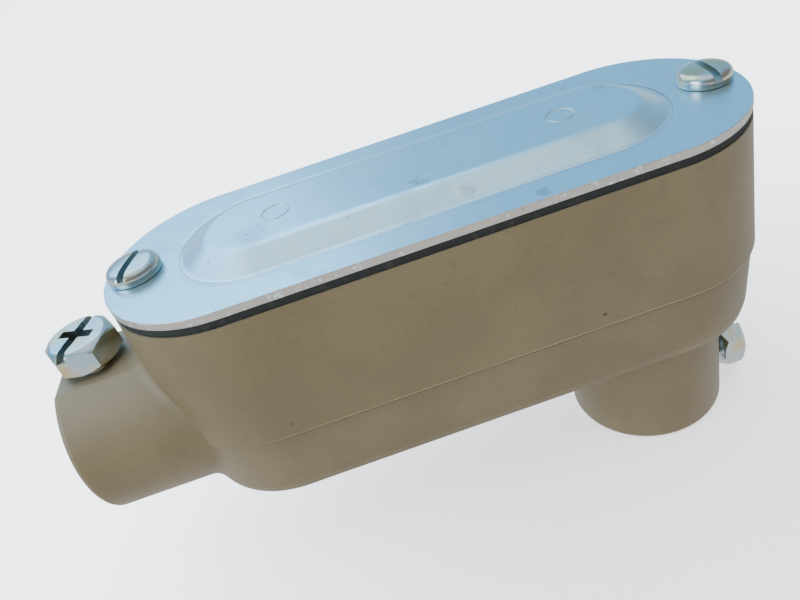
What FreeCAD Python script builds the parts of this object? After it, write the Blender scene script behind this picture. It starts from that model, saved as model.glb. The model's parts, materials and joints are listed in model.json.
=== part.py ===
"""Type LB set-screw conduit body for 1/2 inch EMT: die-cast housing, stamped cover, gasket and screws.

The frame's origin is the centre of the end hub's bore at its conduit stop. +X runs along the
body away from that hub, and +Z points out through the cover. Lengths are in millimetres.
"""
import FreeCAD, Part
import math
import os

import Sketcher
from FreeCAD import Placement, Rotation, Vector

os.makedirs("parts", exist_ok=True)
doc = FreeCAD.newDocument("conduit_body")

# ---------------------------------------------------------------- driving dimensions
DIMENSIONS = [
    ("body_length", 90.0, "cover and body, end to end"),
    ("body_width", 31.2, "cover and body, side to side"),
    ("rim_height", 19.7, "body rim above the end hub's axis"),
    ("body_depth", 12.6, "body floor's outside below that axis"),
    ("wall", 2.4, "casting wall at the rim"),
    ("floor_wall", 2.6, "casting wall under the chamber"),
    ("upper_draft", 0.45, "how far the upper wall leans out at the parting line"),
    ("parting_step", 0.35, "lower wall set in at the parting line"),
    ("lower_draft", 0.75, "further lean inwards down to the floor"),
    ("floor_round", 2.5, "outside rounding along the floor"),
    ("chamber_draft", 0.7, "chamber's lean inwards down to its floor"),
    ("chamber_bevel", 1.3, "bevel where the chamber meets its floor"),
    ("hub_radius", 12.4, "outside of both hubs"),
    ("hub_flat", 11.2, "flat for the set screw, from the hub's axis"),
    ("hub_length", 12.5, "end hub's mouth beyond the body"),
    ("mouth_bevel", 0.7, "first bevel round a hub's mouth"),
    ("mouth_soften", 0.25, "second bevel, on both edges of the first"),
    ("hub_blend", 2.2, "blend between a hub and the body"),
    ("back_axis", 72.7, "back hub's axis along X"),
    ("back_reach", 31.4, "back hub's mouth below the end hub's axis"),
    ("back_bore_depth", 15.6, "conduit stop above the back hub's mouth"),
    ("bore_radius", 9.15, "bore for 17.93 mm EMT"),
    ("throat_radius", 7.9, "smooth throat past the conduit stop"),
    ("throat_bevel", 0.7, "bevel on the throat's edges"),
    ("boss_radius", 3.6, "cover screw boss"),
    ("boss_depth", 10.6, "cover screw boss below the rim"),
    ("cover_screw_inset", 4.4, "cover screw from the cover's end"),
    ("tapped_radius", 2.13, "tapped hole for the 8-32 cover screw"),
    ("tapped_depth", 8.4, "depth of that hole"),
    ("gasket_thick", 1.2, "gasket, pressed"),
    ("gasket_inset", 0.2, "gasket's edge inside the cover's edge"),
    ("cover_thick", 1.2, "cover sheet"),
    ("cover_edge_bevel", 0.25, "blanked edge of the cover"),
    ("clearance_radius", 2.4, "screw hole in the cover and the gasket"),
    ("panel_inset", 21.2, "centre of the panel's round ends from the cover's end"),
    ("panel_foot", 10.25, "half width of the raised panel at its foot"),
    ("panel_top", 6.6, "half width of the raised panel on top"),
    ("panel_height", 2.0, "raised panel above the cover"),
    ("panel_bend", 1.4, "bend radius along the panel's crest"),
    ("panel_foot_bevel", 0.5, "bevel along the panel's foot"),
    ("pan_radius", 3.9, "cover screw head"),
    ("pan_height", 2.1, "cover screw head"),
    ("pan_wall", 0.8, "upright side of that head below its dome"),
    ("pan_shoulder_radius", 3.3, "where the dome's steep part ends"),
    ("pan_shoulder_height", 1.6, "where the dome's steep part ends"),
    ("pan_crown_radius", 2.1, "nearly flat crown of that head"),
    ("pan_slot_width", 1.15, "cover screw slot"),
    ("pan_slot_depth", 1.0, "cover screw slot"),
    ("cover_shank_radius", 2.08, "8-32 thread, outside"),
    ("cover_shank_length", 9.4, "cover screw under its head"),
    ("hex_across", 8.9, "set screw head across flats"),
    ("hex_height", 4.1, "set screw head"),
    ("hex_top_radius", 3.8, "flat top of the set screw head"),
    ("hex_top_drop", 0.95, "how far the top chamfer runs down the corners"),
    ("hex_foot_radius", 4.6, "underside of the set screw head"),
    ("hex_foot_drop", 0.35, "how far the lower chamfer runs up the corners"),
    ("hex_slot_width", 1.3, "set screw slot"),
    ("hex_slot_depth", 1.1, "set screw slot"),
    ("cross_span", 5.2, "cross recess, tip to tip"),
    ("cross_width", 1.5, "cross recess arm"),
    ("cross_depth", 1.9, "cross recess"),
    ("set_shank_radius", 3.17, "1/4-20 thread, outside"),
    ("set_hole_radius", 3.22, "tapped hole for the set screw"),
    ("set_shank_length", 3.0, "set screw under its head"),
    ("set_screw_inset", 5.3, "set screw from the hub's mouth"),
    ("end_gap", 1.0, "end hub's set screw head above its flat"),
    ("back_gap", 1.7, "back hub's set screw head off its flat"),
]

sheet = doc.addObject("Spreadsheet::Sheet", "dims")
for row, (alias, number, meaning) in enumerate(DIMENSIONS, start=1):
    sheet.set(f"A{row}", meaning)
    sheet.set(f"B{row}", str(number))
    sheet.setAlias(f"B{row}", alias)
doc.recompute()


class Size:
    """A length worked out from the sheet: its number, and the expression that stays bound."""

    def __init__(self, number, text):
        self.number = number
        self.text = text

    def _join(self, other, sign, number):
        text = other.text if isinstance(other, Size) else repr(float(other))
        return Size(number, f"({self.text} {sign} {text})")

    def __add__(self, other):
        return self._join(other, "+", self.number + float(other))

    def __sub__(self, other):
        return self._join(other, "-", self.number - float(other))

    def __mul__(self, other):
        return self._join(other, "*", self.number * float(other))

    def __truediv__(self, other):
        return self._join(other, "/", self.number / float(other))

    def __neg__(self):
        return self * -1

    def __float__(self):
        return self.number


def size(name):
    return Size(float(sheet.get(name)), f"dims.{name}")


def bind(target, path, length):
    """Ties a property or constraint to the sheet."""
    if isinstance(length, Size):
        target.setExpression(path, length.text)


END_RADIUS = size("body_width") / 2
LEFT_CENTRE = END_RADIUS
RIGHT_CENTRE = size("body_length") - END_RADIUS
NOTHING = size("body_width") * 0
SCREW_PLACES = {
    "hub_end": size("cover_screw_inset"),
    "elbow_end": size("body_length") - size("cover_screw_inset"),
}


# ---------------------------------------------------------------- sketches
def new_body(label):
    body = doc.addObject("PartDesign::Body", label)
    body.Label = label
    body.AllowCompound = True
    return body


def origin_part(body, role):
    return next(o for o in body.Origin.OriginFeatures if o.Role == role)


def new_sketch(body, name, plane="XY_Plane", offset=None):
    sketch = body.newObject("Sketcher::SketchObject", name)
    sketch.AttachmentSupport = [(origin_part(body, plane), "")]
    sketch.MapMode = "FlatFace"
    if offset is not None:
        sketch.AttachmentOffset = Placement(Vector(0, 0, float(offset)), Rotation())
        bind(sketch, "AttachmentOffset.Base.z", offset)
    return sketch


def hold(sketch, name, length, *what):
    """Adds a named dimension to a sketch and ties it to the sheet."""
    index = sketch.addConstraint(Sketcher.Constraint(*what, float(length)))
    sketch.renameConstraint(index, name)
    bind(sketch, f"Constraints.{name}", length)


def locate(sketch, name, x, y, element, point):
    """Holds one point of a sketch at x, y from the sketch's origin."""
    hold(sketch, f"{name}_x", x, "DistanceX", -1, 1, element, point)
    hold(sketch, f"{name}_y", y, "DistanceY", -1, 1, element, point)


def stadium(body, name, height, radius, left=LEFT_CENTRE, right=RIGHT_CENTRE):
    """A long outline with round ends, level, whose ends are centred on the X axis."""
    sketch = new_sketch(body, name, offset=height)
    x0, x1, r = float(left), float(right), float(radius)
    up = Vector(0, 0, 1)
    quarter = math.pi / 2
    sketch.addGeometry(Part.ArcOfCircle(Part.Circle(Vector(x1, 0, 0), up, r), -quarter, quarter))
    sketch.addGeometry(Part.LineSegment(Vector(x1, r, 0), Vector(x0, r, 0)))
    sketch.addGeometry(Part.ArcOfCircle(Part.Circle(Vector(x0, 0, 0), up, r), quarter, 3 * quarter))
    sketch.addGeometry(Part.LineSegment(Vector(x0, -r, 0), Vector(x1, -r, 0)))
    for element in range(4):
        following = (element + 1) % 4
        sketch.addConstraint(Sketcher.Constraint("Tangent", element, 2, following, 1))
    sketch.addConstraint(Sketcher.Constraint("Equal", 0, 2))
    for element, place, side in ((0, right, "right"), (2, left, "left")):
        sketch.addConstraint(Sketcher.Constraint("PointOnObject", element, 3, -1))
        hold(sketch, side, place, "DistanceX", -1, 1, element, 3)
    hold(sketch, "radius", radius, "Radius", 0)
    return sketch


def disc(body, name, radius, x=NOTHING, y=NOTHING, plane="XY_Plane", offset=None):
    sketch = new_sketch(body, name, plane, offset)
    centre = Vector(float(x), float(y), 0)
    sketch.addGeometry(Part.Circle(centre, Vector(0, 0, 1), float(radius)))
    locate(sketch, "centre", x, y, 0, 3)
    hold(sketch, "radius", radius, "Radius", 0)
    return sketch


def polygon(body, name, corners, plane="XY_Plane", offset=None):
    """A closed outline of straight lines through corners of (x, y)."""
    sketch = new_sketch(body, name, plane, offset)
    points = [Vector(float(x), float(y), 0) for x, y in corners]
    count = len(points)
    for n in range(count):
        sketch.addGeometry(Part.LineSegment(points[n], points[(n + 1) % count]))
    for n in range(count):
        sketch.addConstraint(Sketcher.Constraint("Coincident", n, 2, (n + 1) % count, 1))
    for n, (x, y) in enumerate(corners):
        locate(sketch, f"corner{n}", x, y, n, 1)
    return sketch


def rectangle(body, name, x0, y0, x1, y1, plane="XY_Plane", offset=None):
    corners = [(x0, y0), (x1, y0), (x1, y1), (x0, y1)]
    return polygon(body, name, corners, plane, offset)


def flatted_disc(body, name, centre, turn, plane, offset):
    """A hub's section: a circle with one flat, which faces the sketch's direction turn."""
    sketch = new_sketch(body, name, plane, offset)
    radius, flat = size("hub_radius"), size("hub_flat")
    half = math.acos(float(flat) / float(radius))
    circle = Part.Circle(Vector(float(centre), 0, 0), Vector(0, 0, 1), float(radius))
    arc = Part.ArcOfCircle(circle, turn + half, turn + 2 * math.pi - half)
    sketch.addGeometry(arc)
    sketch.addGeometry(Part.LineSegment(arc.EndPoint, arc.StartPoint))
    sketch.addConstraint(Sketcher.Constraint("Coincident", 0, 2, 1, 1))
    sketch.addConstraint(Sketcher.Constraint("Coincident", 1, 2, 0, 1))
    locate(sketch, "centre", centre, NOTHING, 0, 3)
    hold(sketch, "radius", radius, "Radius", 0)
    if turn:
        sketch.addConstraint(Sketcher.Constraint("Horizontal", 1))
        hold(sketch, "flat", flat, "DistanceY", 0, 3, 1, 1)
    else:
        sketch.addConstraint(Sketcher.Constraint("Vertical", 1))
        hold(sketch, "flat", flat, "DistanceX", 0, 3, 1, 1)
    return sketch


# ---------------------------------------------------------------- features
def extrude(body, kind, name, sketch, length, back=False):
    """A Pad or Pocket. back turns it against its usual direction."""
    feature = body.newObject(f"PartDesign::{kind}", name)
    feature.Profile = sketch
    feature.Length = float(length)
    bind(feature, "Length", length)
    feature.Reversed = back
    doc.recompute()
    return feature


def loft(body, kind, name, first, last):
    feature = body.newObject(f"PartDesign::{kind}", name)
    feature.Profile = first
    feature.Sections = [last]
    feature.Ruled = True
    doc.recompute()
    return feature


def turned(body, kind, name, sketch):
    """A Revolution or Groove about the body's Z axis."""
    feature = body.newObject(f"PartDesign::{kind}", name)
    feature.Profile = sketch
    feature.ReferenceAxis = (origin_part(body, "Z_Axis"), [""])
    feature.Angle = 360.0
    doc.recompute()
    return feature


def round_edges(body, name, length, wanted, kind="Fillet"):
    """Fillets or chamfers every edge of the body so far that wanted(edge) picks."""
    base = body.Tip
    names = [f"Edge{n}" for n, e in enumerate(base.Shape.Edges, start=1) if wanted(e)]
    if not names:
        raise RuntimeError(f"{name}: no edge to round")
    feature = body.newObject(f"PartDesign::{kind}", name)
    feature.Base = (base, names)
    path = "Radius" if kind == "Fillet" else "Size"
    setattr(feature, path, float(length))
    bind(feature, path, length)
    doc.recompute()
    return feature


def level(edge, height):
    box = edge.BoundBox
    return abs(box.ZMin - float(height)) < 0.02 and abs(box.ZMax - float(height)) < 0.02


# ---------------------------------------------------------------- housing
RIM = size("rim_height")
FLOOR = -size("body_depth")
CHAMBER_FLOOR = FLOOR + size("floor_wall")
BACK_MOUTH = -size("back_reach")
HUB_ROOT = size("cover_screw_inset") * 3
FLOOR_STEPS = 3  # flats that make up the rounding along the floor


def screw_boss(body, name, end, offset, depth):
    """A boss inside the end wall for one cover screw, from the height offset down."""
    x, radius = SCREW_PLACES[end], size("boss_radius")
    outwards = -1 if end == "hub_end" else 1
    wall_inside = size("wall") * 0.7
    root = wall_inside if end == "hub_end" else size("body_length") - wall_inside
    sketch = new_sketch(body, f"{name}_sketch", offset=offset)
    start = outwards * math.pi / 2
    circle = Part.Circle(Vector(float(x), 0, 0), Vector(0, 0, 1), float(radius))
    arc = Part.ArcOfCircle(circle, start, start + math.pi)
    first, last = arc.StartPoint, arc.EndPoint
    sketch.addGeometry(arc)
    sketch.addGeometry(Part.LineSegment(last, Vector(float(root), last.y, 0)))
    sketch.addGeometry(Part.LineSegment(Vector(float(root), last.y, 0), Vector(float(root), first.y, 0)))
    sketch.addGeometry(Part.LineSegment(Vector(float(root), first.y, 0), first))
    for element in range(4):
        joined = Sketcher.Constraint("Coincident", element, 2, (element + 1) % 4, 1)
        sketch.addConstraint(joined)
    for element in (1, 3):
        sketch.addConstraint(Sketcher.Constraint("Horizontal", element))
    sketch.addConstraint(Sketcher.Constraint("Vertical", 2))
    sketch.addConstraint(Sketcher.Constraint("PointOnObject", 0, 3, -1))
    sketch.addConstraint(Sketcher.Constraint("Vertical", 0, 1, 0, 3))
    hold(sketch, "place", x, "DistanceX", -1, 1, 0, 3)
    hold(sketch, "root", root, "DistanceX", -1, 1, 2, 1)
    hold(sketch, "radius", radius, "Radius", 0)
    return extrude(body, "Pad", name, sketch, depth, back=True)


def housing_outside(body):
    """Walls that lean out to the parting line and in below it, with the two hubs blended in."""
    upper_foot = END_RADIUS + size("upper_draft")
    lower_head = upper_foot - size("parting_step")
    rim = stadium(body, "rim_outline", RIM, END_RADIUS)
    parting = stadium(body, "parting_outline", NOTHING, lower_head)
    foot = lower_head - size("lower_draft")
    loft(body, "AdditiveLoft", "upper_wall", parting, rim)
    above = parting
    for step in range(FLOOR_STEPS + 1):
        turn = math.radians(90 / FLOOR_STEPS * step)
        height = FLOOR + size("floor_round") * (1 - math.sin(turn))
        radius = foot - size("floor_round") * (1 - math.cos(turn))
        below = stadium(body, f"floor_outline{step}", height, radius)
        loft(body, "AdditiveLoft", f"lower_wall{step}", above, below)
        above = below

    mouth = -size("hub_length")
    end_section = flatted_disc(body, "end_hub_section", NOTHING, math.pi / 2, "YZ_Plane", mouth)
    extrude(body, "Pad", "end_hub", end_section, size("hub_length") + HUB_ROOT)
    back_section = flatted_disc(body, "back_hub_section", size("back_axis"), 0, "XY_Plane", BACK_MOUTH)
    extrude(body, "Pad", "back_hub", back_section, size("back_reach") - size("hub_radius") / 2)
    round_edges(body, "end_hub_blend", size("hub_blend"), at_end_root)
    for step in ("mouth_bevel", "mouth_soften"):
        round_edges(body, f"end_{step}", size(step), at_end_mouth(step), kind="Chamfer")
        round_edges(body, f"back_{step}", size(step), at_back_mouth(step), kind="Chamfer")

    skirt_foot = stadium(body, "skirt_foot_outline", NOTHING, upper_foot)
    skirt_rim = stadium(body, "skirt_rim_outline", RIM, END_RADIUS)
    loft(body, "AdditiveLoft", "upper_skirt", skirt_foot, skirt_rim)


def at_mouth(low, high, step):
    """True along a mouth's sharp edge, or for the second step along both edges of its bevel."""
    reach = float(size("mouth_bevel")) if step == "mouth_soften" else 0
    return high - low < 0.02 and low < reach + 0.02


def at_end_mouth(step):
    mouth = -float(size("hub_length"))
    return lambda e: at_mouth(e.BoundBox.XMin - mouth, e.BoundBox.XMax - mouth, step)


def at_back_mouth(step):
    mouth = float(BACK_MOUTH)
    return lambda e: at_mouth(e.BoundBox.ZMin - mouth, e.BoundBox.ZMax - mouth, step)


def at_end_root(edge):
    """True along the line where the end hub runs into the body's round end."""
    box = edge.BoundBox
    reach = float(size("hub_radius")) + 0.05
    along = box.XMin > -1.5 and box.XMax < float(END_RADIUS) / 2
    return along and max(-box.YMin, box.YMax, -box.ZMin, box.ZMax) < reach and edge.Length > 1.0


def housing_inside(body):
    """Chamber, screw bosses, bores with conduit stops, throats and tapped holes."""
    rim_opening = END_RADIUS - size("wall")
    floor_opening = rim_opening - size("chamber_draft")
    top = stadium(body, "chamber_rim", RIM, rim_opening)
    bottom = stadium(body, "chamber_floor", CHAMBER_FLOOR, floor_opening)
    loft(body, "SubtractiveLoft", "chamber", top, bottom)
    corner = size("chamber_bevel")
    round_edges(body, "chamber_bevel", corner, lambda e: level(e, CHAMBER_FLOOR), kind="Chamfer")
    for end in SCREW_PLACES:
        screw_boss(body, f"{end}_boss", end, RIM, size("boss_depth"))

    mouth = -size("hub_length")
    end_bore = disc(body, "end_bore_circle", size("bore_radius"), plane="YZ_Plane", offset=mouth)
    extrude(body, "Pocket", "end_bore", end_bore, size("hub_length"), back=True)
    end_throat = disc(body, "end_throat_circle", size("throat_radius"), plane="YZ_Plane", offset=mouth)
    extrude(body, "Pocket", "end_throat", end_throat, size("hub_length") + size("wall") * 3, back=True)
    axis = size("back_axis")
    back_bore = disc(body, "back_bore_circle", size("bore_radius"), x=axis, offset=BACK_MOUTH)
    extrude(body, "Pocket", "back_bore", back_bore, size("back_bore_depth"), back=True)
    back_throat = disc(body, "back_throat_circle", size("throat_radius"), x=axis, offset=BACK_MOUTH)
    extrude(body, "Pocket", "back_throat", back_throat, size("back_reach") - size("throat_radius"), back=True)


def at_throat(edge):
    """True on the circles at both ends of each throat."""
    if not isinstance(edge.Curve, Part.Circle):
        return False
    return abs(edge.Curve.Radius - float(size("throat_radius"))) < 0.02 and edge.Length > 10


def housing_holes(body):
    for end, x in SCREW_PLACES.items():
        circle = disc(body, f"{end}_tapped_circle", size("tapped_radius"), x=x, offset=RIM)
        extrude(body, "Pocket", f"{end}_tapped_hole", circle, size("tapped_depth"))
    depth = size("hub_flat") - size("bore_radius") / 2
    inset = size("set_screw_inset")
    end_x = inset - size("hub_length")
    circle = disc(body, "end_set_circle", size("set_hole_radius"), x=end_x, offset=size("hub_flat"))
    extrude(body, "Pocket", "end_set_hole", circle, depth)
    back_z = BACK_MOUTH + inset
    flat_x = size("back_axis") + size("hub_flat")
    circle = disc(body, "back_set_circle", size("set_hole_radius"), y=back_z, plane="YZ_Plane", offset=flat_x)
    extrude(body, "Pocket", "back_set_hole", circle, depth)


def make_housing():
    body = new_body("housing")
    housing_outside(body)
    housing_inside(body)
    round_edges(body, "throat_bevel", size("throat_bevel"), at_throat, kind="Chamfer")
    housing_holes(body)
    return body


# ---------------------------------------------------------------- gasket and cover
def make_gasket():
    body = new_body("gasket")
    top = RIM + size("gasket_thick")
    outline = stadium(body, "gasket_outline", RIM, END_RADIUS - size("gasket_inset"))
    extrude(body, "Pad", "gasket_sheet", outline, size("gasket_thick"))
    window = stadium(body, "gasket_window_outline", top, END_RADIUS - size("wall"))
    extrude(body, "Pocket", "gasket_window", window, size("gasket_thick"))
    for end, x in SCREW_PLACES.items():
        screw_boss(body, f"{end}_ear", end, top, size("gasket_thick"))
    for end, x in SCREW_PLACES.items():
        circle = disc(body, f"{end}_hole_circle", size("clearance_radius"), x=x, offset=top)
        extrude(body, "Pocket", f"{end}_hole", circle, size("gasket_thick"))
    return body


def make_cover():
    """A blanked sheet with one long panel pressed up out of it, hollow underneath."""
    body = new_body("cover")
    under = RIM + size("gasket_thick")
    top = under + size("cover_thick")
    outline = stadium(body, "cover_outline", under, END_RADIUS)
    extrude(body, "Pad", "cover_sheet", outline, size("cover_thick"))
    corner = size("cover_edge_bevel")
    round_edges(body, "cover_edge", corner, lambda e: level(e, top), kind="Chamfer")
    ends = (size("panel_inset"), size("body_length") - size("panel_inset"))
    height = size("panel_height")
    for kind, name, level_z in (
        ("AdditiveLoft", "panel", top),
        ("SubtractiveLoft", "panel_hollow", under),
    ):
        foot = stadium(body, f"{name}_foot", level_z, size("panel_foot"), *ends)
        head = stadium(body, f"{name}_head", level_z + height, size("panel_top"), *ends)
        loft(body, kind, name, foot, head)

    crest = top + height

    def panel_foot(edge):
        box = edge.BoundBox
        return level(edge, top) and max(-box.YMin, box.YMax) < float(size("panel_foot")) + 0.1

    round_edges(body, "panel_crest", size("panel_bend"), lambda e: level(e, crest))
    round_edges(body, "panel_foot", size("panel_foot_bevel"), panel_foot, kind="Chamfer")
    for end, x in SCREW_PLACES.items():
        circle = disc(body, f"{end}_hole_circle", size("clearance_radius"), x=x, offset=top)
        extrude(body, "Pocket", f"{end}_hole", circle, size("cover_thick"))
    return body


# ---------------------------------------------------------------- screws
def add_shank(body, radius, length):
    """A threaded shank below the head, as a plain cylinder at the thread's outside."""
    circle = disc(body, "shank_circle", radius)
    extrude(body, "Pad", "shank", circle, length, back=True)


def make_cover_screw(label, end, slot_turn):
    """Slotted pan head screw. slot_turn is the slot's direction in degrees."""
    body = new_body(label)
    height, radius = size("pan_height"), size("pan_radius")
    profile = [
        (NOTHING, NOTHING),
        (radius, NOTHING),
        (radius, size("pan_wall")),
        (size("pan_shoulder_radius"), size("pan_shoulder_height")),
        (size("pan_crown_radius"), height),
        (NOTHING, height),
    ]
    turned(body, "Revolution", "head", polygon(body, "head_profile", profile, "XZ_Plane"))
    half = size("pan_slot_width") / 2
    slot = rectangle(body, "slot_outline", -radius * 1.2, -half, radius * 1.2, half, offset=height)
    extrude(body, "Pocket", "slot", slot, size("pan_slot_depth"))
    add_shank(body, size("cover_shank_radius"), size("cover_shank_length"))
    seat = RIM + size("gasket_thick") + size("cover_thick")
    place(body, (SCREW_PLACES[end], NOTHING, seat), Rotation(Vector(0, 0, 1), slot_turn))
    return body


def make_set_screw(label, where, rotation):
    """Hex head set screw, bevelled above and below, with a slot and a cross recess."""
    body = new_body(label)
    height = size("hex_height")
    corner = size("hex_across") / math.sqrt(3)
    turns = [math.radians(60 * n) for n in range(6)]
    corners = [(corner * math.cos(t), corner * math.sin(t)) for t in turns]
    extrude(body, "Pad", "head", polygon(body, "head_outline", corners), height)
    reach = corner * 1.1
    top_slope = (reach - size("hex_top_radius")) * (float(size("hex_top_drop")) / 1.36)
    top_bevel = [
        (size("hex_top_radius"), height),
        (reach, height),
        (reach, height - top_slope),
    ]
    turned(body, "Groove", "top_bevel", polygon(body, "top_bevel_outline", top_bevel, "XZ_Plane"))
    foot_bevel = [
        (size("hex_foot_radius"), NOTHING),
        (reach, NOTHING),
        (reach, size("hex_foot_drop") * 2),
    ]
    turned(body, "Groove", "foot_bevel", polygon(body, "foot_bevel_outline", foot_bevel, "XZ_Plane"))
    half = size("hex_slot_width") / 2
    slot = rectangle(body, "slot_outline", -corner * 1.2, -half, corner * 1.2, half, offset=height)
    extrude(body, "Pocket", "slot", slot, size("hex_slot_depth"))
    span, arm = size("cross_span") / 2, size("cross_width") / 2
    for name, x, y in (("cross_along", span, arm), ("cross_over", arm, span)):
        bar = rectangle(body, f"{name}_outline", -x, -y, x, y, offset=height)
        extrude(body, "Pocket", name, bar, size("cross_depth"))
    add_shank(body, size("set_shank_radius"), size("set_shank_length"))
    place(body, where, rotation)
    return body


def place(body, where, rotation):
    body.Placement = Placement(Vector(*(float(length) for length in where)), rotation)
    for letter, length in zip("xyz", where):
        bind(body, f"Placement.Base.{letter}", length)


def make_screws():
    inset = size("set_screw_inset")
    end_seat = size("hub_flat") + size("end_gap")
    back_seat = size("back_axis") + size("hub_flat") + size("back_gap")
    spun = Rotation(Vector(0, 0, 1), 60)
    sideways = Rotation(Vector(0, 1, 0), 90)
    return [
        make_cover_screw("cover_screw_hub_end", "hub_end", 71.5),
        make_cover_screw("cover_screw_elbow_end", "elbow_end", 90),
        make_set_screw("set_screw_end_hub", (inset - size("hub_length"), NOTHING, end_seat), spun),
        make_set_screw("set_screw_back_hub", (back_seat, NOTHING, BACK_MOUTH + inset), sideways),
    ]


# ---------------------------------------------------------------- build, test and export
pieces = [make_housing(), make_gasket(), make_cover(), *make_screws()]
doc.recompute()

for item in doc.Objects:
    if "Invalid" in item.State or "Error" in item.State:
        raise RuntimeError(f"{item.Label} failed: {item.State}")

for piece in pieces:
    shape = piece.Shape
    if shape.isNull() or not shape.isValid() or len(shape.Solids) != 1:
        raise RuntimeError(f"{piece.Label}: bad shape with {len(shape.Solids)} solids")
    shape.exportStep(f"parts/{piece.Label}.step")
    print(f"{piece.Label}: {shape.Volume / 1000:.3f} cm3")
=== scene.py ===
"""Type LB conduit body: finishes, a stamped cover and threaded screws, with light and camera."""
import json
import math

import bpy
import bmesh
from mathutils import Matrix, Vector


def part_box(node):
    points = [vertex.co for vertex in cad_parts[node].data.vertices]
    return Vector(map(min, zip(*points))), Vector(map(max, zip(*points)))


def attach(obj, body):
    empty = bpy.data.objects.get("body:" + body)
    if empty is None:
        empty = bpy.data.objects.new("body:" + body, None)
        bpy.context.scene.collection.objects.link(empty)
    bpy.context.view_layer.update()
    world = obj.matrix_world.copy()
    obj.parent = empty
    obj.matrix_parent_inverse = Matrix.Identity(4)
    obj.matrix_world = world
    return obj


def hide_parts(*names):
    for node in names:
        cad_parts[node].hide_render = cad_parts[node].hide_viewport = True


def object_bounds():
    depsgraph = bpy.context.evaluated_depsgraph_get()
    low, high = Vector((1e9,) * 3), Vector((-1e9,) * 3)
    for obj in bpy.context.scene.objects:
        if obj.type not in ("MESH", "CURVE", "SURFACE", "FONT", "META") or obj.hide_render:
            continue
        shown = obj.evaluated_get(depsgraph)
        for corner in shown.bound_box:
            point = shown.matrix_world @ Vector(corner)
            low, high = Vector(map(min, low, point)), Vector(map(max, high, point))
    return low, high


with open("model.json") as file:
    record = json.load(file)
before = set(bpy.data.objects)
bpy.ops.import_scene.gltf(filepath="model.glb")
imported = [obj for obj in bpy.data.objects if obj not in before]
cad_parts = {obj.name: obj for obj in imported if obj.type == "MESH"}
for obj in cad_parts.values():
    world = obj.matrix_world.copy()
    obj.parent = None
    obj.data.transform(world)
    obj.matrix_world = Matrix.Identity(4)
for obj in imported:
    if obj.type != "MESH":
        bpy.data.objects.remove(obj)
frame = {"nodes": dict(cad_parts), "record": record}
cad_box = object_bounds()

bpy.ops.object.select_all(action="DESELECT")

MM = 0.001
UP = Vector((0, 0, 1))
ALONG = Vector((1, 0, 0))
record = frame["record"]

# Sizes in mm. Cover: the sheet, its raised panel, and the groove pressed at the panel's foot.
COVER_LENGTH, COVER_WIDTH, SHEET = 90.0, 31.2, 1.2
PANEL_INSET, PANEL_FOOT, PANEL_TOP, PANEL_RISE = 21.2, 10.25, 6.6, 2.0
FOOT_BEND, CREST_BEND = 0.6, 2.6
GROOVE, GROOVE_HALF, GROOVE_DEPTH = PANEL_FOOT + 0.35, 0.15, 0.17
HOLE_RADIUS, HOLE_INSET = 2.4, 4.4
EDGE_BEVEL = 0.22
SMUDGES = (  # x, y and radius
    (43.5, -5.0, 1.6), (49.0, -9.0, 1.2), (63.0, 9.5, 1.8), (57.0, -14.0, 1.1), (73.0, 5.0, 1.4),
)
RING_MARKS, RING_RADIUS, RING_HALF = (24.7, 64.9), 1.9, 0.16

# Screws: the pan heads on the cover and the hex heads in the hubs.
PAN_RADIUS, PAN_HEIGHT, PAN_RIM = 3.7, 2.1, 1.15
PAN_SLOT_HALF, PAN_SLOT_DEPTH = 0.52, 1.0
HEX_ACROSS, HEX_HEIGHT = 8.9, 4.1
HEX_SLOT_HALF, HEX_SLOT_DEPTH = 0.62, 1.1
CROSS_HALF, CROSS_REACH, CROSS_DEPTH = 0.72, 2.6, 1.9

# Crest radius, root radius and pitch of an 8-32 and a 1/4-20 thread.
COVER_THREAD = (2.08, 1.62, 0.794)
HUB_THREAD = (3.17, 2.6, 1.27)


# ---------------------------------------------------------------- nodes
class Value:
    """One output of a shader node. Arithmetic on it adds Math nodes to the same tree."""

    def __init__(self, tree, socket):
        self.tree = tree
        self.socket = socket

    def math(self, operation, *values):
        return self.tree.node("Math", {"operation": operation}, dict(enumerate(values)))

    def __add__(self, other):
        return self.math("ADD", self, other)

    def __radd__(self, other):
        return self.math("ADD", other, self)

    def __sub__(self, other):
        return self.math("SUBTRACT", self, other)

    def __mul__(self, other):
        return self.math("MULTIPLY", self, other)

    def __truediv__(self, other):
        return self.math("DIVIDE", self, other)

    def __pow__(self, other):
        return self.math("POWER", self, other)

    def __abs__(self):
        return self.math("ABSOLUTE", self)

    def between(self, low, high):
        """Rises smoothly from 0 at low to 1 at high, and falls where low is the greater."""
        inputs = {"Value": self, "From Min": low, "From Max": high}
        return self.tree.node("MapRange", {"interpolation_type": "SMOOTHSTEP"}, inputs)

    def near(self, middle, fade, full):
        """1 within full of middle, falling smoothly to 0 at a distance of fade."""
        return abs(self - middle).between(fade, full)

    def part(self, axis):
        """The X, Y or Z of a vector."""
        return self.tree.node("SeparateXYZ", {}, {0: self}, "XYZ".index(axis))


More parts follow.
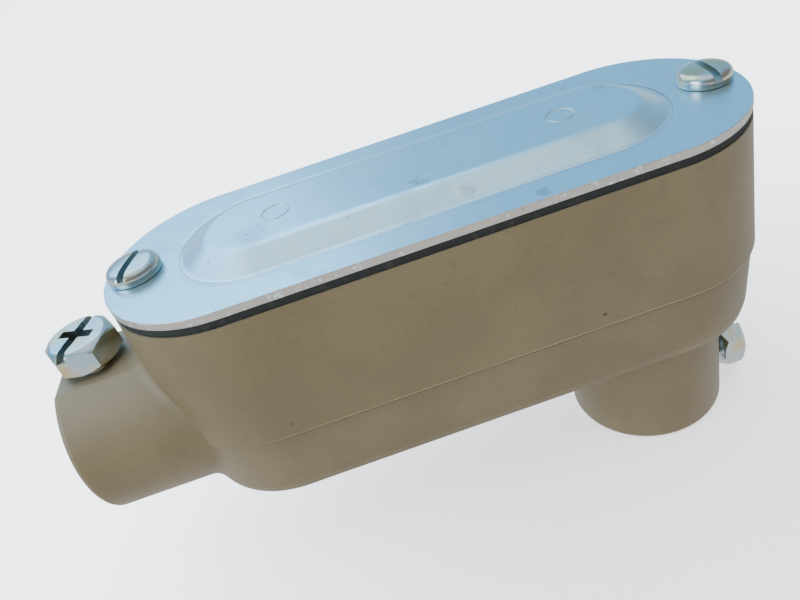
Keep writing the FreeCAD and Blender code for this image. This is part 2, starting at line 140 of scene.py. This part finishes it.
class Tree:
    """A node tree, and the one method that adds nodes to it."""

    def __init__(self, node_tree):
        self.nodes = node_tree.nodes
        self.links = node_tree.links

    def node(self, kind, settings, inputs, output=0):
        """Adds a node: its settings first, then the values or links of its sockets."""
        node = self.nodes.new(f"ShaderNode{kind}")
        for name, value in settings.items():
            if name == "stops":
                ramp = node.color_ramp
                while len(ramp.elements) < len(value):
                    ramp.elements.new(1.0)
                for element, (position, colour) in zip(ramp.elements, value):
                    element.position, element.color = position, (*colour, 1.0)
            else:
                setattr(node, name, value)
        for name, value in inputs.items():
            if isinstance(value, Value):
                self.links.new(value.socket, node.inputs[name])
            else:
                node.inputs[name].default_value = value
        return Value(self, node.outputs[output])

    def mix(self, first, second, share):
        """The first colour where share is 0 and the second where it is 1."""
        first, second = (c if isinstance(c, Value) else (*c, 1.0) for c in (first, second))
        return self.node("Mix", {"data_type": "RGBA"}, {"Factor": share, 6: first, 7: second}, 2)

    def vector(self, operation, first, second, output="Vector"):
        return self.node("VectorMath", {"operation": operation}, {0: first, 1: second}, output)


class Finish(Tree):
    """One material and the nodes that give it its colour, gloss and relief."""

    def __init__(self, name, **uniform):
        self.material = bpy.data.materials.new(name)
        self.material.use_nodes = True
        super().__init__(self.material.node_tree)
        self.shader = self.nodes["Principled BSDF"]
        for socket, value in uniform.items():
            self.shader.inputs[socket.replace("_", " ")].default_value = value
        self.place = self.node("TexCoord", {}, {}, "Object")

    def noise(self, size, detail, roughness, stretch=(1, 1, 1), shift=(0, 0, 0)):
        """Cloudy noise whose lumps are about size mm across."""
        at = self.node("Mapping", {}, {"Vector": self.place, "Location": shift, "Scale": stretch})
        inputs = {"Vector": at, "Scale": 1 / (size * MM), "Detail": detail, "Roughness": roughness}
        return self.node("TexNoise", {}, inputs)

    def spots(self, spacing, shift=(0, 0, 0)):
        """Distance from the nearest of scattered points that lie about spacing mm apart."""
        at = self.node("Mapping", {}, {"Vector": self.place, "Location": shift})
        return self.node("TexVoronoi", {}, {"Vector": at, "Scale": 1 / (spacing * MM)})

    def normal(self, axis):
        return self.node("NewGeometry", {}, {}, "Normal").part(axis)

    def relief(self, height, depth, strength):
        """A Bump whose height runs over depth mm."""
        inputs = {"Height": height, "Distance": depth * MM, "Strength": strength}
        return self.node("Bump", {}, inputs)

    def feed(self, **links):
        for socket, value in links.items():
            self.links.new(value.socket, self.shader.inputs[socket.replace("_", " ")])
        return self.material


# ---------------------------------------------------------------- finishes
def painted_casting():
    """Satin beige enamel over a die casting, with a flash line where the halves of the die met,
    painted light on what faces up, and a painted highlight and painted shadow at that line.
    """
    finish = Finish("painted_casting", Metallic=0.0, Specular_IOR_Level=0.38)

    # Mottling, grain and orange peel, and painted light on what faces up: paler and cooler there.
    cloud = finish.noise(14.0, 3.0, 0.55)
    fine = finish.noise(1.6, 3.0, 0.6)
    peel = finish.noise(0.55, 2.0, 0.5)
    colour = finish.mix((0.212, 0.156, 0.081), (0.184, 0.135, 0.069), cloud.between(0.35, 0.65))
    colour = finish.mix(colour, (0.150, 0.110, 0.057), fine.between(0.52, 0.75) * 0.35)
    colour = finish.mix(colour, (0.135, 0.100, 0.052), peel.between(0.55, 0.8) * 0.3)
    painted_top_light = finish.normal("Z").between(0.1, 0.9)
    colour = finish.mix(colour, (0.245, 0.215, 0.160), painted_top_light * 0.6)

    # A few pits, in patches.
    patches = finish.noise(11.0, 1.0, 0.5, shift=(3, 1, 2)).between(0.5, 0.6)
    pits = finish.spots(6.5).between(0.055, 0.03) * patches
    colour = finish.mix(colour, (0.06, 0.05, 0.035), pits * 0.8)

    # The flash line at the parting plane, a low ridge with a painted highlight along it and a
    # painted shadow under it, fading towards the end hub.
    level = finish.place.part("Z") / MM + (fine - 0.5) * 0.12
    broken = finish.noise(7.0, 2.0, 0.5).between(0.25, 0.5)
    present = finish.place.part("X").between(6 * MM, 26 * MM) * broken
    flash_and_highlight = level.near(0.08, 0.17, 0.05) * present
    shadow = level.near(-0.32, 0.34, 0.10) * present
    # Painted highlight along the flash line, and painted shadow under it.
    colour = finish.mix(colour, (0.36, 0.275, 0.14), flash_and_highlight * 0.7)
    colour = finish.mix(colour, (0.085, 0.068, 0.045), shadow * 0.6)

    height = peel * 0.5 + fine * 0.5 - pits * 1.5 + flash_and_highlight * 1.2 - shadow * 0.6
    return finish.feed(
        Base_Color=colour,
        Roughness=0.40 + cloud * 0.10 + pits * 0.3,
        Normal=finish.relief(height, 0.045, 0.6),
    )


def bare_sheet():
    """Stamped aluminium: rolling grain, hairlines, specks, smudges, and a nicked, blanked edge; its
    blue tint and the warm colour of its edge are painted reflections, with painted highlights on
    the bevels and painted light and shade at the groove.
    """
    finish = Finish("cover_sheet", Metallic=1.0)
    grain = finish.noise(0.45, 3.0, 0.6, stretch=(0.05, 1, 1))
    hairline = finish.noise(0.16, 1.0, 0.5, stretch=(0.03, 1, 1), shift=(1, 7, 3))
    hairline = hairline.between(0.66, 0.74)
    cloud = finish.noise(9.0, 4.0, 0.6, shift=(2, 5, 1))
    dull = cloud.between(0.48, 0.72)
    speck = finish.spots(3.4, shift=(4, 1, 0)).between(0.10, 0.03)
    # Painted reflection: the base colour is tinted blue for a sky seen in the sheet; the cloud
    # gives duller patches.
    colour = finish.mix((0.49, 0.74, 0.88), (0.43, 0.645, 0.77), dull)
    colour = finish.mix(colour, (0.28, 0.32, 0.34), speck * 0.55)

    # Ragged smudges.
    ragged = finish.noise(1.3, 4.0, 0.7, stretch=(0.7, 1, 1), shift=(0, 3, 0))
    flat = finish.vector("MULTIPLY", finish.place, (1, 1, 0))
    for x, y, radius in SMUDGES:
        away = finish.vector("DISTANCE", flat, (x * MM, y * MM, 0), "Value")
        smudge = (away + (ragged - 0.5) * (5 * MM)).between(radius * MM, 0.3 * radius * MM)
        colour = finish.mix(colour, (0.28, 0.36, 0.41), smudge * 0.55)

    # Painted highlight on one wall of the groove at the panel's foot, and painted shade on the
    # other.
    beside_x, beside_y = finish.place.part("X") / MM, finish.place.part("Y") / MM
    ends = {"Value": beside_x, "Min": PANEL_INSET, "Max": COVER_LENGTH - PANEL_INSET}
    beside_x = beside_x - finish.node("Clamp", {}, ends)
    across = (beside_x * beside_x + beside_y * beside_y) ** 0.5
    colour = finish.mix(colour, (0.30, 0.36, 0.38), across.near(GROOVE + 0.14, 0.14, 0.04) * 0.55)
    painted_groove_highlight = across.near(GROOVE - 0.06, 0.14, 0.04) * (0.45 + ragged * 0.6)
    colour = finish.mix(colour, (0.92, 0.90, 0.84), painted_groove_highlight)

    # The cut edge is dull and nicked, with a warm painted reflection on it, and a painted highlight
    # on the bevels that face partly up, along its top and in the groove.
    facing_up = finish.normal("Z")
    edge = abs(facing_up).between(0.75, 0.45)
    nick = finish.noise(0.9, 3.0, 0.7, shift=(5, 5, 5)).between(0.56, 0.66)
    # Painted reflection: warm beige for the surroundings seen in the cut edge, with lighter nicks.
    edge_reflection_and_nicks = finish.mix((0.56, 0.48, 0.41), (0.80, 0.82, 0.80), nick)
    colour = finish.mix(colour, edge_reflection_and_nicks, edge * 0.9)
    # Painted highlight on the bevels that face partly up, nicks making it uneven.
    painted_bevel_highlight = facing_up.between(0.3, 0.55) * facing_up.between(0.93, 0.82) * (0.35 + nick * 0.65)
    colour = finish.mix(colour, (0.86, 0.86, 0.83), painted_bevel_highlight)

    height = grain * 0.4 + cloud * 0.6 - hairline * 0.35 - edge * nick * 0.8
    return finish.feed(
        Base_Color=colour,
        Roughness=0.27 + grain * 0.08 + dull * 0.14 + edge * 0.15 + speck * 0.2,
        Normal=finish.relief(height, 0.06, 0.4),
    )


def black_rubber():
    """Dusty black rubber."""
    finish = Finish("gasket_rubber", Metallic=0.0, Specular_IOR_Level=0.35)
    dust = finish.noise(1.2, 3.0, 0.6)
    colour = finish.mix((0.020, 0.022, 0.020), (0.075, 0.075, 0.065), dust.between(0.5, 0.75) * 0.4)
    return finish.feed(
        Base_Color=colour, Roughness=0.65 + dust * 0.2, Normal=finish.relief(dust, 0.06, 0.6),
    )


def bright_zinc():
    """Zinc plate on steel, with the faint blue and straw tints of its passivation, and painted
    shade in its slots and cross recesses.
    """
    finish = Finish("screw_zinc", Metallic=1.0)
    tint = finish.noise(3.2, 2.0, 0.5)
    scuff = finish.noise(0.35, 3.0, 0.6)
    stops = [(0.35, (0.42, 0.53, 0.60)), (0.5, (0.55, 0.57, 0.55)), (0.66, (0.60, 0.50, 0.31))]
    colour = finish.node("ValToRGB", {"stops": stops}, {"Fac": tint})
    # Painted shade: the faces marked as in a recess are darkened.
    recess = finish.node("Attribute", {"attribute_name": "recess"}, {}, "Fac")
    colour = finish.mix(colour, (0.24, 0.28, 0.28), recess * (0.3 + scuff * 0.5))
    return finish.feed(
        Base_Color=colour,
        Roughness=0.13 + scuff * 0.16 + recess * 0.15,
        Normal=finish.relief(scuff * 0.6 + tint * 0.4, 0.03, 0.22),
    )


FINISHES = {
    "painted_casting": painted_casting(),
    "cover_sheet": bare_sheet(),
    "gasket_rubber": black_rubber(),
    "screw_zinc": bright_zinc(),
}


def dress(piece, slot):
    piece.data.materials.clear()
    piece.data.materials.append(FINISHES[slot])


for subpart in record["subparts"]:
    dress(frame["nodes"][subpart["node"]], subpart["material_slot"])


# ---------------------------------------------------------------- modelling
def settle():
    """Puts the place, turn and scale of what is selected into its mesh."""
    bpy.ops.object.transform_apply(location=True, rotation=True, scale=True)


def primitive(name, add, **settings):
    """Adds a primitive by itself, with its place in its mesh."""
    bpy.ops.object.select_all(action="DESELECT")
    add(**settings)
    piece = bpy.context.object
    piece.name = piece.data.name = name
    settle()
    return piece


def edit():
    bpy.ops.object.mode_set(mode="EDIT")
    bpy.ops.mesh.select_all(action="SELECT")


def choose(piece, kind, wanted):
    """In edit mode, selects only the verts or faces that wanted(item) picks."""
    bpy.ops.mesh.select_mode(type={"verts": "VERT", "faces": "FACE"}[kind])
    bpy.ops.mesh.select_all(action="DESELECT")
    mesh = bmesh.from_edit_mesh(piece.data)
    for item in list(getattr(mesh, kind)):
        if wanted(item):
            item.select_set(True)
    mesh.select_flush_mode()
    bmesh.update_edit_mesh(piece.data)


def alone(piece):
    bpy.ops.object.select_all(action="DESELECT")
    piece.select_set(True)
    bpy.context.view_layer.objects.active = piece


def modify(piece, kind, **settings):
    """Adds a modifier and applies it."""
    modifier = piece.modifiers.new(kind.lower(), kind)
    for name, value in settings.items():
        setattr(modifier, name, value)
    alone(piece)
    bpy.ops.object.modifier_apply(modifier=modifier.name)


def close_up(piece):
    """Ends editing with doubles merged and every face turned outwards."""
    bpy.ops.mesh.select_all(action="SELECT")
    bpy.ops.mesh.remove_doubles(threshold=0.002 * MM)
    bpy.ops.mesh.normals_make_consistent(inside=False)
    bpy.ops.object.mode_set(mode="OBJECT")
    return piece


def turned(name, profile, segments=72):
    """A solid of revolution about Z: profile is (radius, height) pairs in mm from the bottom up."""
    radius, height = profile[0]
    piece = primitive(
        name, bpy.ops.mesh.primitive_circle_add, vertices=segments, radius=radius * MM,
        fill_type="NGON", location=(0, 0, height * MM),
    )
    edit()
    for wider, higher in profile[1:]:
        rise = (0, 0, (higher - height) * MM)
        bpy.ops.mesh.extrude_region_move(TRANSFORM_OT_translate={"value": rise})
        grow = wider / radius
        bpy.ops.transform.resize(value=(grow, grow, 1), center_override=(0, 0, higher * MM))
        radius, height = wider, higher
    return close_up(piece)


def arc(radius, height, bend, first, last, steps):
    """Points of a profile on an arc about (radius, height), between two angles in degrees."""
    angles = [math.radians(first + (last - first) * n / steps) for n in range(steps + 1)]
    return [(radius + bend * math.cos(a), height + bend * math.sin(a)) for a in angles]


def bar(low_corner, high_corner):
    """A block for cutting with, between two corners in mm."""
    piece = primitive("cutter", bpy.ops.mesh.primitive_cube_add, size=MM)
    piece.scale = [b - a for a, b in zip(low_corner, high_corner)]
    piece.location = [(a + b) / 2 * MM for a, b in zip(low_corner, high_corner)]
    settle()
    return piece


def combine(piece, tool, operation="DIFFERENCE"):
    """Cuts piece with tool, or keeps what both share, and removes tool."""
    modify(piece, "BOOLEAN", operation=operation, object=tool, solver="EXACT")
    bpy.data.objects.remove(tool)


def smooth(piece, angle=35):
    """Smooths what bends by less than angle, with large faces kept flat."""
    alone(piece)
    bpy.ops.object.shade_smooth_by_angle(angle=math.radians(angle))
    modify(piece, "WEIGHTED_NORMAL", keep_sharp=True)
    return piece


def soften(piece, width, segments, angle):
    """Rounds the edges that bend by more than angle and smooths the rest."""
    modify(
        piece, "BEVEL", width=width * MM, segments=segments, limit_method="ANGLE",
        angle_limit=math.radians(angle), use_clamp_overlap=True,
    )
    smooth(piece, angle)


def thread(sizes, top, bottom):
    """A closed helical ridge about Z, whose foot lies inside the core of the shank."""
    crest, root, pitch = sizes
    half = pitch * 0.42
    crest_flat, sunk, steps = 0.18, 0.12, 40
    middle = crest - half
    piece = primitive(
        "ridge", bpy.ops.mesh.primitive_plane_add, size=2 * half * MM,
        location=(middle * MM, 0, (bottom + half) * MM), rotation=(math.pi / 2, 0, 0),
    )
    edit()
    bpy.ops.mesh.delete(type="ONLY_FACE")
    choose(piece, "verts", lambda v: v.co.x > middle * MM)
    bpy.ops.transform.resize(value=(1, 1, crest_flat), center_override=(0, 0, (bottom + half) * MM))
    choose(piece, "verts", lambda v: v.co.x < middle * MM)
    bpy.ops.transform.translate(value=((root - sunk - (crest - 2 * half)) * MM, 0, 0))
    bpy.ops.object.mode_set(mode="OBJECT")
    modify(
        piece, "SCREW", axis="Z", screw_offset=pitch * MM, use_merge_vertices=False,
        iterations=max(1, int((top - bottom - 2 * half) / pitch)), steps=steps, render_steps=steps,
    )
    edit()
    bpy.ops.mesh.fill_holes(sides=0)
    return smooth(close_up(piece), 30)


def mark_recess(piece, inside):
    """Marks the faces whose middle, in mm, lies inside a recess, for the finish to darken as
    painted shade.
    """
    marks = piece.data.attributes.new("recess", "FLOAT", "FACE")
    for face in piece.data.polygons:
        marks.data[face.index].value = float(inside(face.center / MM))


def threaded(node, *pieces):
    """Joins the pieces of a screw under its node's name."""
    alone(pieces[0])
    for other in pieces[1:]:
        other.select_set(True)
    bpy.ops.object.join()
    pieces[0].name = f"{node}_threaded"
    return pieces[0]


def seat(piece, node, place=Vector((0, 0, 0)), axis=UP, turn=0):
    """Turns a piece about Z, lays Z along axis, moves it to place and puts it in for its node."""
    spin = Matrix.Rotation(math.radians(turn), 4, "Z")
    lie = UP.rotation_difference(axis).to_matrix().to_4x4()
    piece.matrix_world = Matrix.Translation(place) @ lie @ spin
    alone(piece)
    settle()
    slot = next(s["material_slot"] for s in record["subparts"] if s["node"] == node)
    body = next(b for b, nodes in record["behaviour"]["bodies"].items() if node in nodes)
    dress(piece, slot)
    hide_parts(node)
    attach(piece, body)


# ---------------------------------------------------------------- screws
def cover_screw(node, turn):
    """Slotted pan head screw with a rounded rim, a low crown and a pointed tip."""
    low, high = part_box(node)
    shank = (high.z - low.z) / MM - PAN_HEIGHT
    root = COVER_THREAD[1]
    crown = [(radius, PAN_HEIGHT - 0.16 * (radius / 3.0) ** 2) for radius in (2.2, 1.4, 0.7)]
    body = turned(f"{node}_turned", [
        (root - 0.5, -shank), (root, -shank + 0.5), (root, -0.35), (root + 0.25, 0),
        (PAN_RADIUS - 0.25, 0), (PAN_RADIUS - 0.06, 0.1),
        *arc(PAN_RADIUS - PAN_RIM, 0.75, PAN_RIM, -8, 76, 8), *crown,
    ])
    slot_floor = PAN_HEIGHT - PAN_SLOT_DEPTH
    combine(body, bar((-6, -PAN_SLOT_HALF, slot_floor), (6, PAN_SLOT_HALF, PAN_HEIGHT + 1)))
    soften(body, 0.07, 2, 40)
    mark_recess(body, lambda at: abs(at.y) < PAN_SLOT_HALF + 0.01 and 0.6 < at.z < PAN_HEIGHT - 0.2)
    screw = threaded(node, body, thread(COVER_THREAD, -0.5, -shank + 0.15))
    middle = (low + high) / 2
    seat(screw, node, Vector((middle.x, middle.y, high.z - PAN_HEIGHT * MM)), turn=turn)


def hex_head(name, recess_turn):
    """Hexagon with its corners bevelled off, a slot across it and a cross recess in its middle."""
    corner = HEX_ACROSS / math.sqrt(3)
    head = primitive(
        name, bpy.ops.mesh.primitive_cylinder_add, vertices=6, radius=corner * MM,
        depth=HEX_HEIGHT * MM, location=(0, 0, HEX_HEIGHT / 2 * MM),
        rotation=(0, 0, math.radians(30)),
    )
    envelope = turned("envelope", [
        (4.35, -0.01), (4.72, 0.35), (corner + 0.1, 0.75), (corner + 0.1, HEX_HEIGHT - 1.25),
        (4.75, HEX_HEIGHT - 0.72), (4.25, HEX_HEIGHT - 0.26),
        (3.75, HEX_HEIGHT - 0.02), (3.55, HEX_HEIGHT + 0.01),
    ], 96)
    combine(head, envelope, "INTERSECT")
    lie = Matrix.Rotation(math.radians(recess_turn), 4, "Z")
    for reach, half, depth in (
        (7, HEX_SLOT_HALF, HEX_SLOT_DEPTH),
        (CROSS_HALF, CROSS_REACH, CROSS_DEPTH),
        (CROSS_REACH, CROSS_HALF, CROSS_DEPTH),
    ):
        cutter = bar((-reach, -half, HEX_HEIGHT - depth), (reach, half, HEX_HEIGHT + 1))
        cutter.data.transform(lie)
        combine(head, cutter)
    soften(head, 0.2, 3, 24)
    back = lie.inverted()

    def in_recess(at):
        x, y = abs((back @ at).x), abs((back @ at).y)
        in_cross = max(x, y) < CROSS_REACH + 0.1 and min(x, y) < CROSS_HALF + 0.08
        return 0.2 < HEX_HEIGHT - at.z < 2.0 and (in_cross or y < HEX_SLOT_HALF + 0.08)

    mark_recess(head, in_recess)
    return head


def set_screw(node, recess_turn, axis):
    """Hex head set screw with a plain tip, whose head stands out along axis."""
    low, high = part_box(node)
    shank = abs((high - low).dot(axis)) / MM - HEX_HEIGHT
    root = HUB_THREAD[1]
    head = hex_head(f"{node}_head", recess_turn)
    stem = turned(f"{node}_stem", [
        (root - 0.7, -shank), (root, -shank + 0.6), (root, -0.3), (root + 0.4, 0.05),
    ])
    screw = threaded(node, head, smooth(stem), thread(HUB_THREAD, -0.15, -shank + 0.1))
    middle = (low + high) / 2
    seat(screw, node, middle + axis * ((high - middle).dot(axis) - HEX_HEIGHT * MM), axis)


cover_screw("cover_screw_hub_end", 71.5)
cover_screw("cover_screw_elbow_end", 90)
set_screw("set_screw_end_hub", 68, UP)
set_screw("set_screw_back_hub", 20, ALONG)


# ---------------------------------------------------------------- cover
def oblong(piece, height, end_radius, end_inset, old_radius, old_inset):
    """Extrudes the chosen face of an oblong to a new height, end radius and inset of its ends."""
    bpy.ops.mesh.extrude_region_move(TRANSFORM_OT_translate={"value": (0, 0, 0)})
    chosen = {v.index for v in bmesh.from_edit_mesh(piece.data).verts if v.select}
    middle_x = COVER_LENGTH / 2 * MM
    grow = end_radius / old_radius
    for side in (-1, 1):
        choose(piece, "verts", lambda v: v.index in chosen and (v.co.x - middle_x) * side > 0)
        centre = (middle_x + side * (middle_x - old_inset * MM), 0, 0)
        bpy.ops.transform.resize(value=(grow, grow, 1), center_override=centre)
        bpy.ops.transform.translate(value=(-side * (end_inset - old_inset) * MM, 0, 0))
    choose(piece, "verts", lambda v: v.index in chosen)
    level = next(v.co.z for v in bmesh.from_edit_mesh(piece.data).verts if v.select)
    bpy.ops.transform.translate(value=(0, 0, height * MM - level))
    bpy.ops.mesh.select_mode(type="FACE")


def panel_rings():
    """(end radius, rise) in mm of each ring, from the flat sheet over both bends to the top."""
    slope = math.atan2(PANEL_RISE, PANEL_FOOT - PANEL_TOP)
    foot = PANEL_FOOT + FOOT_BEND * math.tan(slope / 2)
    top = PANEL_TOP - CREST_BEND * math.tan(slope / 2)
    flat = (PANEL_FOOT + 1.7, GROOVE + GROOVE_HALF, GROOVE, GROOVE - GROOVE_HALF)
    rings = [(radius, 0.0) for radius in flat]
    for turn in (slope * share for share in (0, 0.33, 0.67, 1)):
        rings.append((foot - FOOT_BEND * math.sin(turn), FOOT_BEND * (1 - math.cos(turn))))
    for turn in (slope * share for share in (1, 0.83, 0.67, 0.5, 0.33, 0.17, 0)):
        rise = PANEL_RISE - CREST_BEND * (1 - math.cos(turn))
        rings.append((top + CREST_BEND * math.sin(turn), rise))
    return rings + [(top - 1.2, PANEL_RISE)]


def cover_plate(node):
    """Stamped sheet: a raised oblong panel, a groove at its foot, two holes and two ring marks."""
    outer = COVER_WIDTH / 2
    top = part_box(node)[0].z / MM + SHEET
    segments = 96
    plate = primitive(
        "stamped_cover", bpy.ops.mesh.primitive_circle_add, vertices=segments, radius=outer * MM,
        fill_type="NGON", location=(outer * MM, 0, top * MM), rotation=(0, 0, math.pi / segments),
    )
    edit()
    choose(plate, "verts", lambda v: v.co.x > outer * MM)
    bpy.ops.transform.translate(value=((COVER_LENGTH - COVER_WIDTH) * MM, 0, 0))
    choose(plate, "faces", lambda f: True)
    last = (outer, outer)
    for radius, rise in panel_rings():
        oblong(plate, top + rise, radius, PANEL_INSET, *last)
        last = (radius, PANEL_INSET)

    # The face it started from is left under the rings.
    flat_top = (top + 0.1) * MM
    choose(plate, "faces", lambda f: len(f.verts) > 8 and f.calc_center_median().z < flat_top)
    bpy.ops.mesh.delete(type="ONLY_FACE")
    close_up(plate)
    modify(plate, "SOLIDIFY", thickness=SHEET * MM, offset=-1, use_even_offset=True)
    for x in (HOLE_INSET, COVER_LENGTH - HOLE_INSET):
        combine(plate, primitive(
            "drill", bpy.ops.mesh.primitive_cylinder_add, vertices=48, radius=HOLE_RADIUS * MM,
            depth=6 * MM, location=(x * MM, 0, top * MM),
        ))
    soften(plate, EDGE_BEVEL, 3, 50)

    def at_groove(vert):
        x, y = vert.co.x / MM, vert.co.y / MM
        centre = min(max(x, PANEL_INSET), COVER_LENGTH - PANEL_INSET)
        return abs(math.hypot(x - centre, y) - GROOVE) < 0.05 and vert.co.z > (top - 0.1) * MM

    edit()
    choose(plate, "verts", at_groove)
    bpy.ops.transform.translate(value=(0, 0, -GROOVE_DEPTH * MM))
    bpy.ops.object.mode_set(mode="OBJECT")
    for x in RING_MARKS:
        combine(plate, primitive(
            "ring_stamp", bpy.ops.mesh.primitive_torus_add, major_radius=RING_RADIUS * MM,
            minor_radius=RING_HALF * MM, major_segments=48, minor_segments=10,
            location=(x * MM, 0, (top + PANEL_RISE + 0.03) * MM),
        ))
    smooth(plate, 32)
    seat(plate, node)


cover_plate("cover")


# ---------------------------------------------------------------- floor, light and camera
low, high = cad_box
middle = (low + high) / 2


def pale_paper():
    """Nearly white paper that glows, less so close to the part: a painted shadow under it, through
    which its cast shadow still shows.
    """
    paper = Finish("pale_paper", Roughness=0.9, Emission_Strength=2.6)
    mottle = paper.noise(60.0, 2.0, 0.5)
    away = paper.vector("DISTANCE", paper.place, (35 * MM, -25 * MM, 0), "Value")
    # Painted shadow: the glow falls to under half towards a point under the part.
    glow_and_painted_shadow = paper.mix((0.45, 0.45, 0.45), (1.0, 1.0, 1.0), away.between(20 * MM, 130 * MM))
    pale = paper.mix((0.93, 0.93, 0.93), (0.91, 0.91, 0.92), mottle)
    return paper.feed(Base_Color=pale, Emission_Color=glow_and_painted_shadow)


bpy.ops.mesh.primitive_plane_add(size=8, location=(middle.x, middle.y, low.z - 0.2 * MM))
floor = bpy.context.object
floor.name = "floor"
floor.data.materials.append(pale_paper())
floor.visible_diffuse = floor.visible_glossy = False


def soft_light(name, place, size, watts, colour, glossy=True):
    """A square area light that faces the middle of the part."""
    bpy.ops.object.light_add(type="AREA", location=middle + Vector(place))
    light = bpy.context.object
    light.name = name
    light.data.size = size
    light.data.energy = watts
    light.data.color = colour
    light.rotation_mode = "QUATERNION"
    light.rotation_quaternion = (light.location - middle).to_track_quat("Z", "Y")
    light.visible_glossy = glossy


soft_light("sky_light", (-0.35, 0.55, 0.75), 0.9, 5.5, (0.55, 0.82, 1.0))
soft_light("room_light", (-0.42, -0.21, 0.21), 0.3, 1.25, (0.92, 0.97, 1.0))
soft_light("top_light", (0.0, -0.12, 1.0), 0.8, 6.0, (1.0, 0.95, 0.86), glossy=False)


def studio():
    """Pale blue from behind and the left, dim and warm from the front right, pale up and down."""
    world = bpy.data.worlds.new("studio")
    world.use_nodes = True
    tree = Tree(world.node_tree)
    direction = tree.node("TexCoord", {}, {}, "Generated")
    behind = tree.vector("DOT_PRODUCT", direction, (-0.6, 0.8, 0.0), "Value")
    height = direction.part("Z")
    light = tree.mix((0.32, 0.30, 0.26), (0.35, 0.76, 1.14), behind.between(-0.6, 0.3))
    light = tree.mix(light, (1.14, 1.34, 1.40), height.between(0.72, 0.96))
    light = tree.mix((1.08, 1.14, 1.18), light, height.between(0.06, 0.2))
    tree.links.new(light.socket, tree.nodes["Background"].inputs["Color"])
    return world


bpy.context.scene.world = studio()

# The camera stands about 10 cm from the cover, turned on its own axis.
CAMERA_AT = Vector((36.98, -86.69, 66.36)) * MM
AZIMUTH, ELEVATION, ROLL = (math.radians(angle) for angle in (-1.977, 34.659, -17.893))
FOCAL_TO_SENSOR = 0.8945
SHIFT = (-0.02235, -0.02674)

back = Vector((
    math.sin(AZIMUTH) * math.cos(ELEVATION),
    -math.cos(AZIMUTH) * math.cos(ELEVATION),
    math.sin(ELEVATION),
))
level_right = Vector((math.cos(AZIMUTH), math.sin(AZIMUTH), 0))
level_down = level_right.cross(back)
right = level_right * math.cos(ROLL) - level_down * math.sin(ROLL)
up = back.cross(right)

bpy.ops.object.camera_add(location=CAMERA_AT)
camera = bpy.context.object
camera.rotation_mode = "QUATERNION"
camera.rotation_quaternion = Matrix((right, up, back)).transposed().to_quaternion()
camera.data.lens = FOCAL_TO_SENSOR * camera.data.sensor_width
camera.data.shift_x, camera.data.shift_y = SHIFT
camera.data.clip_start = 1 * MM
bpy.context.scene.camera = camera
